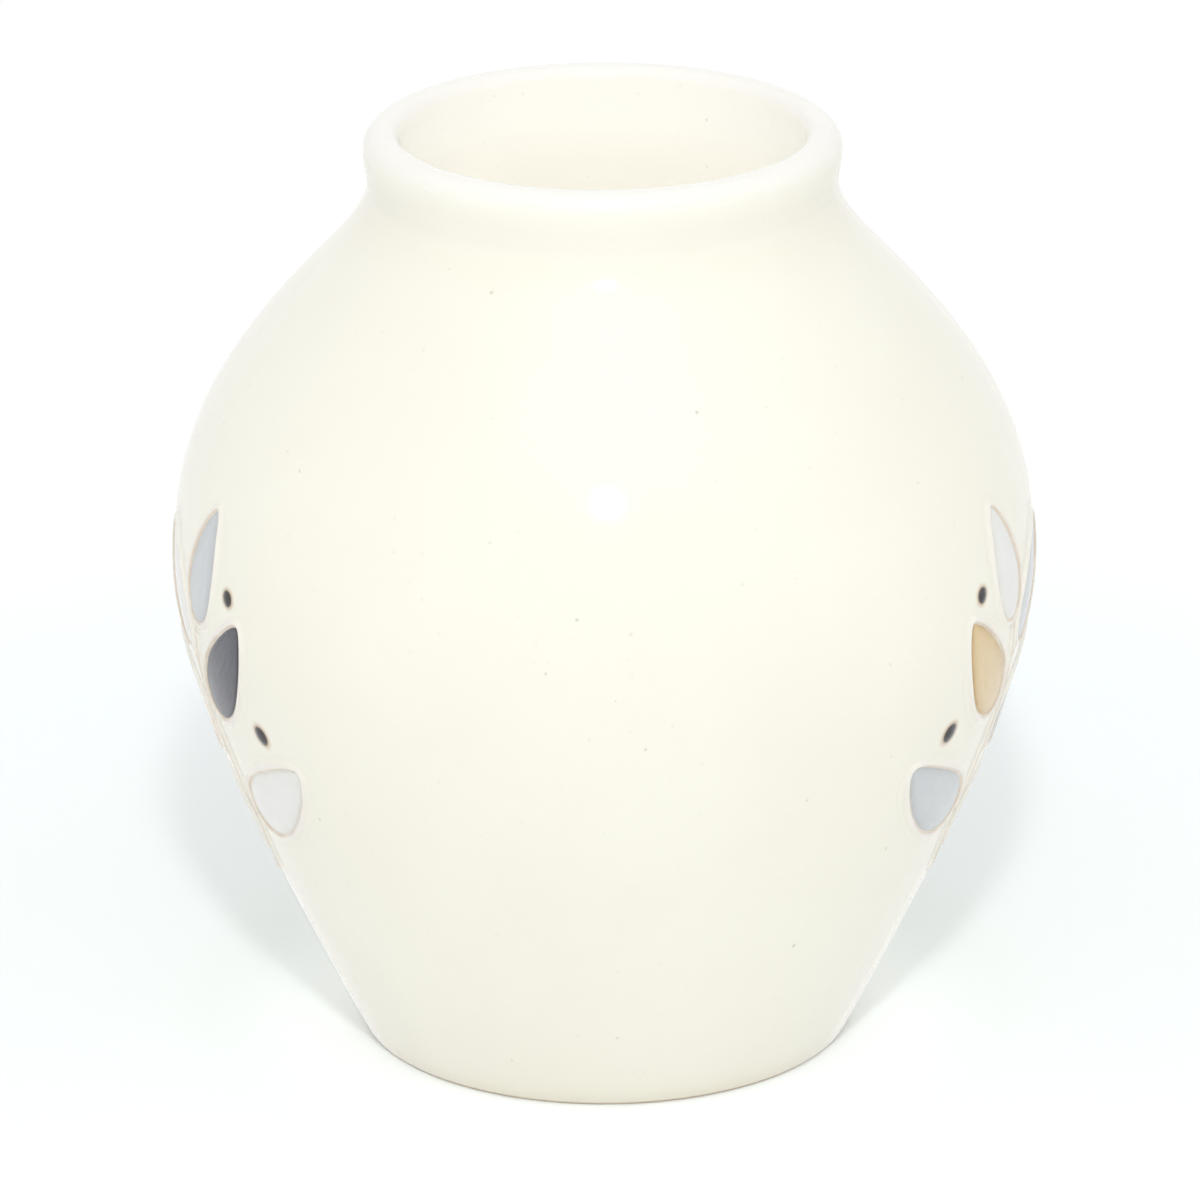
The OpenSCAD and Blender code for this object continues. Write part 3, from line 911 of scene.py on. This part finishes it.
def dot_dome(dot, flip, bearing):
    """A rounded dot with a stained skirt."""
    centre = np.array([[dot.across * flip, dot.up]])
    turn = circle(DOT_STEPS)
    ring = dot.width / 2 * np.stack([np.cos(turn), np.sin(turn)], 1)
    rings = []
    for share in DOT_RINGS:
        height = FILM_H + DOT_H * math.exp(-(share / DOT_FALL) ** DOT_FALL_POWER)
        rings.append(on_wall(centre + share * ring, height, bearing))
    for share in (DOT_RINGS[-1], DOT_UNDER_RING):
        rings.append(on_wall(centre + share * ring, FILM_BASE, bearing))
    ends = [on_wall(centre, height, bearing) for height in (FILM_H + DOT_H, FILM_BASE)]
    spread = np.append(DOT_RINGS, [DOT_RINGS[-1]] * 2)
    ink = 1 - smooth_step(spread, *DOT_INK_END)
    stain = DOT_STAIN_SHARE * (1 - smooth_step(spread, *DOT_STAIN_END))
    values = {
        "ink": np.append(np.repeat(ink, DOT_STEPS), [1, 0]),
        "stain": np.append(np.repeat(stain, DOT_STEPS), [0, 0]),
    }
    faces = grid_faces(len(rings), DOT_STEPS) + fans(len(rings), DOT_STEPS)
    return np.vstack(rings + ends), faces, values


def spray_dots(name, bearing, flip):
    points, faces, values = together([dot_dome(dot, flip, bearing) for dot in DOTS])
    piece(name + "_spray_beads", points, faces, values, DARK_SLIP, "dark_slip", name + "_spray_dots")


glaze_coat()
base_patch(clay_core())
for spray_name, spray_bearing, spray_flip, spray_paints in SPRAYS:
    spray_lines(spray_name, spray_bearing, spray_flip)
    spray_dots(spray_name, spray_bearing, spray_flip)
    for spray_paint in POOLS:
        spray_pools(spray_name, spray_paint, spray_bearing, spray_flip, spray_paints)


# Floor, light and camera, with places in metres

FLOOR_REACH = 4.0
FLOOR_ROUGHNESS = 0.9
BLACK = rgb(0, 0, 0)
WHITE = rgb(1, 1, 1)
# Colour of the floor to light that bounces off it, and to the eye
FLOOR_BOUNCE = rgb(0.85, 0.86, 0.86)
FLOOR_SHADE = rgb(0.91, 0.95, 0.955)
# Distances from the vase over which the light on the floor stops showing
SHADE_FADE = (0.12, 0.4)
# Glow of the floor to the eye, as distance from the vase and strength. Its first step is painted light: a
# faint ring right round the foot that thins the contact shadow there.
FLOOR_GLOW = [(0.027, 0.10), (0.045, 0.0), (0.11, 0.0), (0.35, 1.0)]
# Strength of the surround from the level and from straight above
LOW_LIGHT = 0.78
HIGH_LIGHT = 0.72
HOLLOW_LIGHT = 0.018
HOLLOW_LIGHT_R = 0.012
# Each lamp: its bearing from the front and its elevation in degrees, its distance, width and height,
# its power in watts, whether mirrors show it, and the radius of its even core, where LAMP_EDGE is its edge
LAMPS = {
    "key_lamp": (0.8, 38.5, 0.9, 0.09, 0.09, 2.5, False, 0.2),
    "floor_key_lamp": (0.8, 38.5, 0.9, 0.09, 0.09, 2.4, False, 0.2),
    "glint_lamp": (0.8, 41.5, 0.9, 0.2, 0.2, 1.0, True, 0.05),
    "soft_box": (0, 58, 0.85, 1.1, 0.75, 1.8, True, 0.2),
    "front_fill": (0, 14, 1.2, 1.8, 0.55, 2.2, False, 0.2),
    "left_fill": (-76, 40, 1.1, 1.7, 0.8, 1.8, False, 0.2),
    "right_fill": (76, 40, 1.1, 1.7, 0.8, 2.0, False, 0.2),
    "back_fill": (180, 16, 1.2, 1.8, 0.6, 6, False, 0.2),
}
LAMP_EDGE = 0.5
# The lamp that lights the floor alone, which deepens the shadow on it
FLOOR_LAMP = "floor_key_lamp"
# The camera fitted to the photograph, with its sensor and its focal length in millimetres
CAMERA_PLACE = (-0.0005, -0.8361, 0.3564)
CAMERA_DROP = math.radians(20.237)
CAMERA_ROLL = math.radians(-0.27)
SENSOR_W = 36
FOCAL_LENGTH = 246
CLIP_START = 0.01


def larger(tree, a, b):
    node = tree.nodes.new("ShaderNodeMath")
    node.operation = "MAXIMUM"
    tree.links.new(a, node.inputs[0])
    tree.links.new(b, node.inputs[1])
    return node.outputs["Value"]


def seen_and_mirrored(tree):
    """Two sockets: 1 for rays from the camera, and 1 for mirrored ones."""
    path = tree.nodes.new("ShaderNodeLightPath")
    mirrored = larger(tree, path.outputs["Is Glossy Ray"], path.outputs["Is Transmission Ray"])
    return path.outputs["Is Camera Ray"], mirrored


def floor():
    """A white floor that keeps the shadow near the vase, with a faint painted light right round the foot
    that thins the contact shadow, glows far off, and is white in mirrors.
    """
    mesh = bpy.data.meshes.new("floor")
    corners = [(x * FLOOR_REACH, y * FLOOR_REACH, 0) for x, y in ((-1, -1), (1, -1), (1, 1), (-1, 1))]
    mesh.from_pydata(corners, [], [(0, 1, 2, 3)])
    n = Nodes("floor_white")
    seen, mirrored = seen_and_mirrored(n.tree)
    far = n.add("ShaderNodeVectorMath", operation="LENGTH")
    n.join(n.place, far.inputs[0])
    far = far.outputs["Value"]
    shade = n.mix(n.map(far, *SHADE_FADE), FLOOR_SHADE, BLACK)
    shade = n.mix(seen, FLOOR_BOUNCE, shade)
    n.join(n.mix(mirrored, shade, BLACK), n.shader.inputs["Base Color"])
    n.shader.inputs["Roughness"].default_value = FLOOR_ROUGHNESS
    n.shader.inputs["Specular IOR Level"].default_value = 0.0
    n.shader.inputs["Emission Color"].default_value = WHITE
    # The first glow step is painted light round the foot
    glow = FLOOR_GLOW[0][1]
    for (near, less), (farther, more) in zip(FLOOR_GLOW, FLOOR_GLOW[1:]):
        glow = n.math("ADD", n.map(far, near, farther, 0, more - less), glow)
    n.join(larger(n.tree, n.times(seen, glow), mirrored), n.shader.inputs["Emission Strength"])
    mesh.materials.append(n.material)
    made = linked(bpy.data.objects.new("floor", mesh))
    return made


def sky():
    """A pale surround that lights the vase most from low down, and is white to the eye and in mirrors."""
    world = bpy.data.worlds.new("sky")
    bpy.context.scene.world = world
    world.use_nodes = True
    tree = world.node_tree
    way = tree.nodes.new("ShaderNodeSeparateXYZ")
    tree.links.new(tree.nodes.new("ShaderNodeTexCoord").outputs["Generated"], way.inputs["Vector"])
    light = smooth_range(tree, 0.0, 1.0, LOW_LIGHT, HIGH_LIGHT)
    tree.links.new(way.outputs["Z"], light.inputs["Value"])
    strength = tree.nodes.new("ShaderNodeMapRange")
    strength.inputs["To Max"].default_value = 1.0
    tree.links.new(light.outputs["Result"], strength.inputs["To Min"])
    tree.links.new(larger(tree, *seen_and_mirrored(tree)), strength.inputs["Value"])
    back = tree.nodes["Background"]
    back.inputs["Color"].default_value = WHITE
    tree.links.new(strength.outputs["Result"], back.inputs["Strength"])


def aimed(made, place, target):
    made.location = place
    way = np.array(target) - np.array(place)
    made.rotation_euler = (math.atan2(math.hypot(way[0], way[1]), -way[2]), 0, math.atan2(-way[0], way[1]))


def lamp(name, bearing, elevation, distance, width, height, power, mirrored, core):
    """A soft lamp that faces the vase and fades from its core to its edge."""
    light = bpy.data.lights.new(name, "AREA")
    light.shape = "RECTANGLE"
    light.size = width
    light.size_y = height
    light.energy = power
    light.use_nodes = True
    tree = light.node_tree
    away = tree.nodes.new("ShaderNodeVectorMath")
    away.operation = "DISTANCE"
    away.inputs[1].default_value = (LAMP_EDGE, LAMP_EDGE, 0)
    tree.links.new(tree.nodes.new("ShaderNodeNewGeometry").outputs["Parametric"], away.inputs[0])
    fade = smooth_range(tree, LAMP_EDGE, core, 0.0, 1.0)
    tree.links.new(away.outputs["Value"], fade.inputs["Value"])
    tree.links.new(fade.outputs["Result"], tree.nodes["Emission"].inputs["Strength"])
    made = linked(bpy.data.objects.new(name, light))
    a = math.radians(bearing)
    e = math.radians(elevation)
    middle = np.array([0, 0, BELLY_Z * MM])
    away_from = np.array([math.sin(a) * math.cos(e), -math.cos(a) * math.cos(e), math.sin(e)])
    aimed(made, middle + distance * away_from, middle)
    made.visible_glossy = mirrored
    return made


def light_only(lamp_made, lit):
    """Lets a lamp light one object only, with the shadows of all."""
    group = bpy.data.collections.new(lamp_made.name + "_lit")
    group.objects.link(lit)
    lamp_made.light_linking.receiver_collection = group


def hollow_lamp():
    """A faint lamp inside the pot, for the light that its pale walls pass round many times."""
    light = bpy.data.lights.new("hollow_lamp", "POINT")
    light.energy = HOLLOW_LIGHT
    light.shadow_soft_size = HOLLOW_LIGHT_R
    made = linked(bpy.data.objects.new("hollow_lamp", light))
    made.location = (0, 0, BELLY_Z * MM)
    made.visible_camera = False
    made.visible_glossy = False


def camera():
    lens = bpy.data.cameras.new("camera")
    lens.sensor_width = SENSOR_W
    lens.lens = FOCAL_LENGTH
    lens.clip_start = CLIP_START
    made = linked(bpy.data.objects.new("camera", lens))
    made.location = CAMERA_PLACE
    pitch = Matrix.Rotation(math.pi / 2 - CAMERA_DROP, 3, "X")
    made.rotation_euler = (pitch @ Matrix.Rotation(CAMERA_ROLL, 3, "Z")).to_euler()
    bpy.context.scene.camera = made


white_floor = floor()
sky()
for lamp_name, lamp_settings in LAMPS.items():
    new_lamp = lamp(lamp_name, *lamp_settings)
    if lamp_name == FLOOR_LAMP:
        light_only(new_lamp, white_floor)
hollow_lamp()
camera()
bpy.context.scene.view_settings.view_transform = "Standard"
